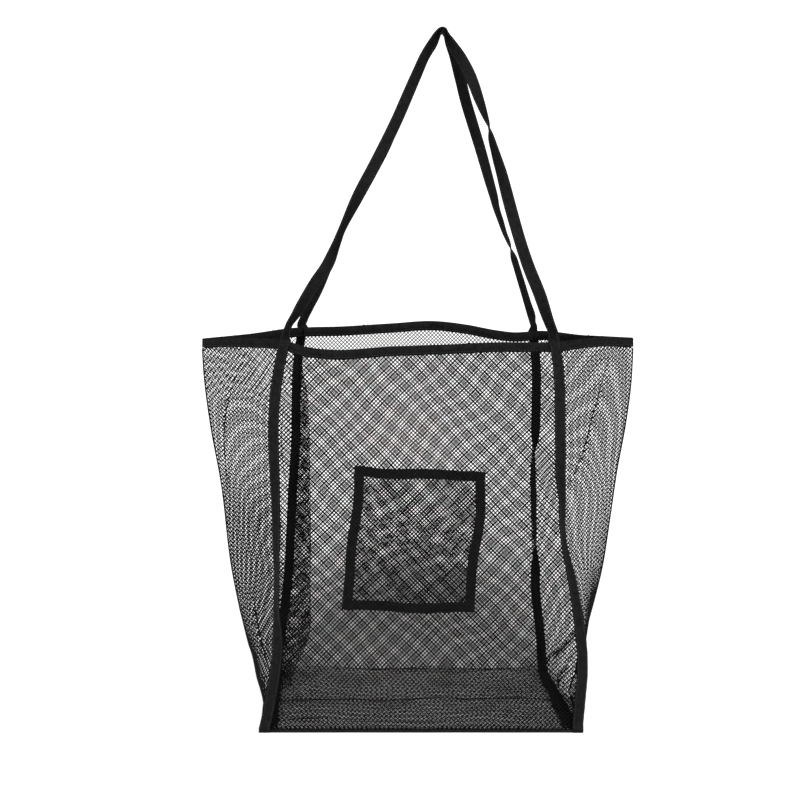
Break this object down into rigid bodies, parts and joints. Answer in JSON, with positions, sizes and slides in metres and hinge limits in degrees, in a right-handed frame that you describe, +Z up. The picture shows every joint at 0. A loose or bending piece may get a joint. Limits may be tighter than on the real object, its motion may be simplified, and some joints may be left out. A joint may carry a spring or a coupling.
{
  "type": "beach bag",
  "caption": "Black open-mesh beach tote with a boxed base, a tape-bound rim, a taped mesh pocket and long tape handles that gather above the mouth.",
  "frame": {"origin": "centre of the footprint, on the plane that the bag stands on", "axes": "+X to the bearer's right along the wide face, -Y out of the front face, +Z up towards the handles"},
  "size_m": [0.4762, 0.1516, 0.7378],
  "materials": {
    "body_mesh": "open knitted mesh, matte",
    "pocket_mesh": "open knitted mesh, matte",
    "rim_binding": "ribbed tape, matte",
    "carrying_tape": "woven webbing, matte",
    "pocket_tape": "ribbed tape, matte",
    "seam_tape": "ribbed tape, matte"
  },
  "bodies": {
    "bag": {"front_panel": "body_mesh", "back_panel": "body_mesh", "front_left_side": "body_mesh", "front_right_side": "body_mesh", "back_left_side": "body_mesh", "back_right_side": "body_mesh", "front_base": "body_mesh", "back_base": "body_mesh", "pocket_mesh": "pocket_mesh", "base_seam": "seam_tape", "left_corner_seam": "seam_tape", "right_corner_seam": "seam_tape", "left_side_seam": "seam_tape", "right_side_seam": "seam_tape", "front_rim_binding": "rim_binding", "back_rim_binding": "rim_binding", "front_left_strap": "carrying_tape", "front_right_strap": "carrying_tape", "back_left_strap": "carrying_tape", "back_right_strap": "carrying_tape", "left_base_strap": "carrying_tape", "right_base_strap": "carrying_tape", "pocket_left_tape": "pocket_tape", "pocket_right_tape": "pocket_tape", "pocket_top_tape": "pocket_tape", "pocket_bottom_tape": "pocket_tape"},
    "front_handle": {"front_handle": "carrying_tape"},
    "back_handle": {"back_handle": "carrying_tape"}
  },
  "joints": [
    {"name": "front_handle_swing", "type": "hinge", "parent": "bag", "child": "front_handle", "pos_m": [0, -0.0747, 0.3893], "axis": [1, 0, 0], "range_deg": [0, 180]},
    {"name": "back_handle_swing", "type": "hinge", "parent": "bag", "child": "back_handle", "pos_m": [0, 0.0747, 0.4073], "axis": [-1, 0, 0], "range_deg": [0, 180]}
  ]
}
